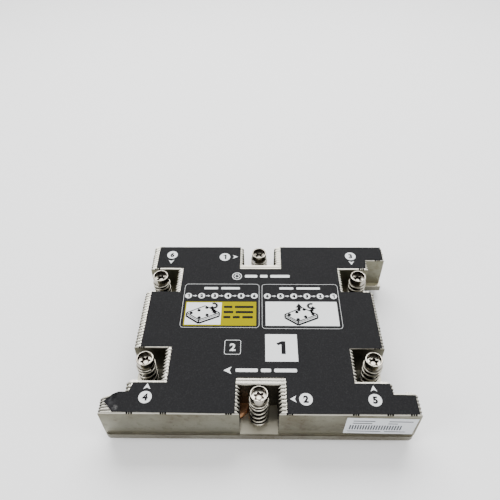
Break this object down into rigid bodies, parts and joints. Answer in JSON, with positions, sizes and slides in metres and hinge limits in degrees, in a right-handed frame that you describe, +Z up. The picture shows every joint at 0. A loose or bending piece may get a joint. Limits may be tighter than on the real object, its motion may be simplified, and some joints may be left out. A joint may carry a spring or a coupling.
{
  "type": "passive server cpu heatsink",
  "caption": "Low finned cooler for a server processor: folded plated fins on a base plate with ears, heat pipes, a contact block and captive spring screws.",
  "frame": {"origin": "on the contact face, under the centre of the base plate's outline", "axes": "+X along the fins, +Y across them from the front bar to the rear bar, +Z up from the contact face"},
  "size_m": [0.1272, 0.0938, 0.0268],
  "materials": {
    "plated_fins": "nickel plated, satin",
    "plated_base": "nickel plated, satin",
    "plated_contact": "nickel plated copper, ground",
    "copper": "bare copper, satin",
    "screw_steel": "nickel plated",
    "ring_steel": "spring steel",
    "spring_steel": "nickel plated wire",
    "black_film": "matte printed film",
    "white_film": "satin film"
  },
  "bodies": {
    "cooler": {"base_plate": "plated_base", "contact_block": "plated_contact", "heat_pipe_front": "copper", "heat_pipe_rear": "copper", "fins_front_ear_left": "plated_fins", "fins_front_ear_right": "plated_fins", "fins_front_step_left": "plated_fins", "fins_front_step_right": "plated_fins", "fins_front_bridge": "plated_fins", "fins_front_waist": "plated_fins", "fins_middle": "plated_fins", "fins_rear_waist": "plated_fins", "fins_rear_bridge": "plated_fins", "fins_rear_step_left": "plated_fins", "fins_rear_step_right": "plated_fins", "fins_rear_ear_left": "plated_fins", "fins_rear_ear_right": "plated_fins", "top_label": "black_film", "side_label": "white_film", "spring_front_left": "spring_steel", "spring_front_middle": "spring_steel", "spring_front_right": "spring_steel", "spring_rear_left": "spring_steel", "spring_rear_middle": "spring_steel", "spring_rear_right": "spring_steel"},
    "catch_front_left": {"ring_front_left": "ring_steel"},
    "bolt_front_left": {"screw_front_left": "screw_steel"},
    "catch_front_middle": {"ring_front_middle": "ring_steel"},
    "bolt_front_middle": {"screw_front_middle": "screw_steel"},
    "catch_front_right": {"ring_front_right": "ring_steel"},
    "bolt_front_right": {"screw_front_right": "screw_steel"},
    "catch_rear_left": {"ring_rear_left": "ring_steel"},
    "bolt_rear_left": {"screw_rear_left": "screw_steel"},
    "catch_rear_middle": {"ring_rear_middle": "ring_steel"},
    "bolt_rear_middle": {"screw_rear_middle": "screw_steel"},
    "catch_rear_right": {"ring_rear_right": "ring_steel"},
    "bolt_rear_right": {"screw_rear_right": "screw_steel"}
  },
  "joints": [
    {"name": "travel_front_left", "type": "slide", "parent": "cooler", "child": "catch_front_left", "axis": [0, 0, -1], "range_m": [0, 0.0045], "stiffness_N_per_m": 2500, "springref_m": -0.002, "deforming": ["spring_front_left"]},
    {"name": "turn_front_left", "type": "hinge", "parent": "catch_front_left", "child": "bolt_front_left", "pos_m": [-0.0478, -0.02285, 0.0268], "axis": [0, 0, 1], "continuous": true},
    {"name": "travel_front_middle", "type": "slide", "parent": "cooler", "child": "catch_front_middle", "axis": [0, 0, -1], "range_m": [0, 0.0045], "stiffness_N_per_m": 2500, "springref_m": -0.002, "deforming": ["spring_front_middle"]},
    {"name": "turn_front_middle", "type": "hinge", "parent": "catch_front_middle", "child": "bolt_front_middle", "pos_m": [0, -0.0388, 0.0268], "axis": [0, 0, 1], "continuous": true},
    {"name": "travel_front_right", "type": "slide", "parent": "cooler", "child": "catch_front_right", "axis": [0, 0, -1], "range_m": [0, 0.0045], "stiffness_N_per_m": 2500, "springref_m": -0.002, "deforming": ["spring_front_right"]},
    {"name": "turn_front_right", "type": "hinge", "parent": "catch_front_right", "child": "bolt_front_right", "pos_m": [0.0478, -0.02285, 0.0268], "axis": [0, 0, 1], "continuous": true},
    {"name": "travel_rear_left", "type": "slide", "parent": "cooler", "child": "catch_rear_left", "axis": [0, 0, -1], "range_m": [0, 0.0045], "stiffness_N_per_m": 2500, "springref_m": -0.002, "deforming": ["spring_rear_left"]},
    {"name": "turn_rear_left", "type": "hinge", "parent": "catch_rear_left", "child": "bolt_rear_left", "pos_m": [-0.0478, 0.02375, 0.0268], "axis": [0, 0, 1], "continuous": true},
    {"name": "travel_rear_middle", "type": "slide", "parent": "cooler", "child": "catch_rear_middle", "axis": [0, 0, -1], "range_m": [0, 0.0045], "stiffness_N_per_m": 2500, "springref_m": -0.002, "deforming": ["spring_rear_middle"]},
    {"name": "turn_rear_middle", "type": "hinge", "parent": "catch_rear_middle", "child": "bolt_rear_middle", "pos_m": [0, 0.03935, 0.0268], "axis": [0, 0, 1], "continuous": true},
    {"name": "travel_rear_right", "type": "slide", "parent": "cooler", "child": "catch_rear_right", "axis": [0, 0, -1], "range_m": [0, 0.0045], "stiffness_N_per_m": 2500, "springref_m": -0.002, "deforming": ["spring_rear_right"]},
    {"name": "turn_rear_right", "type": "hinge", "parent": "catch_rear_right", "child": "bolt_rear_right", "pos_m": [0.0478, 0.02375, 0.0268], "axis": [0, 0, 1], "continuous": true}
  ]
}
